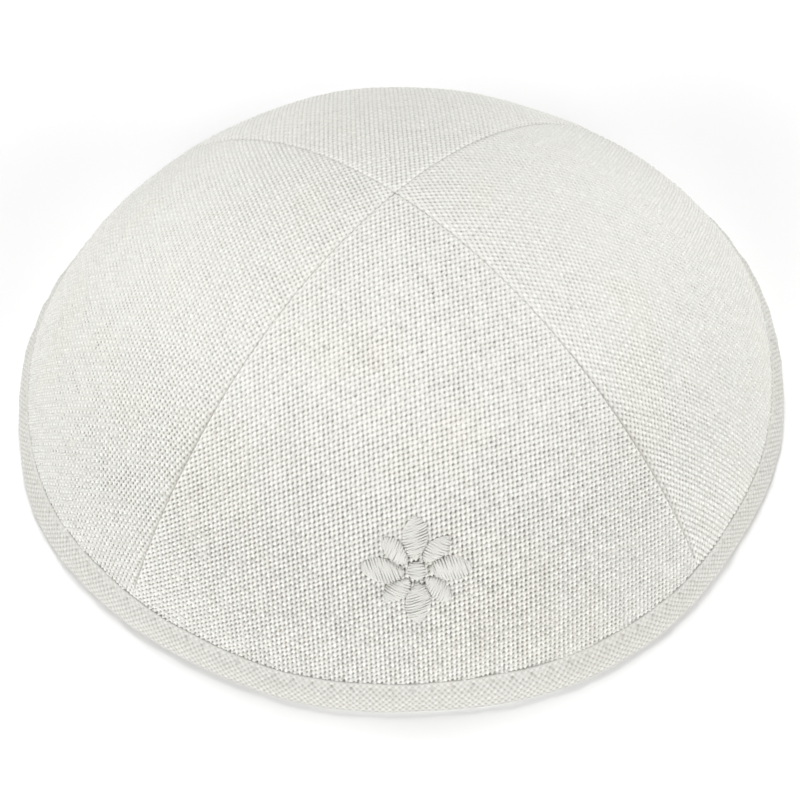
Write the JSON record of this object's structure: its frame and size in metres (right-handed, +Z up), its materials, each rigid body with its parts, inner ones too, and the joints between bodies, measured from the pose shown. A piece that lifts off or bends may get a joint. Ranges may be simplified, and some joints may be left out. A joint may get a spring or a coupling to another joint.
{
  "type": "kippah skullcap",
  "caption": "Low dome skullcap of woven cloth gores with a bias-bound rim and a small embroidered rosette on the front gore.",
  "frame": {"origin": "on the surface that the cap stands on, under the middle of its box", "axes": "+Z up out of the crown, -Y towards the front gore with the rosette, +X to the wearer's long side of the slightly oval rim"},
  "size_m": [0.1738, 0.1642, 0.059],
  "materials": {
    "linen_panels": "plain-weave linen look, off-white, matt",
    "bias_tape": "finer plain weave cut on the bias, off-white, matt",
    "satin_thread": "satin-stitch embroidery thread, white, soft sheen"
  },
  "bodies": {
    "root": {"front_panel": "linen_panels", "right_panel": "linen_panels", "back_panel": "linen_panels", "left_panel": "linen_panels", "rim_binding": "bias_tape", "rosette_centre": "satin_thread", "rosette_long_petal_1": "satin_thread", "rosette_long_petal_2": "satin_thread", "rosette_long_petal_3": "satin_thread", "rosette_long_petal_4": "satin_thread", "rosette_short_petal_1": "satin_thread", "rosette_short_petal_2": "satin_thread", "rosette_short_petal_3": "satin_thread", "rosette_short_petal_4": "satin_thread"}
  },
  "joints": []
}
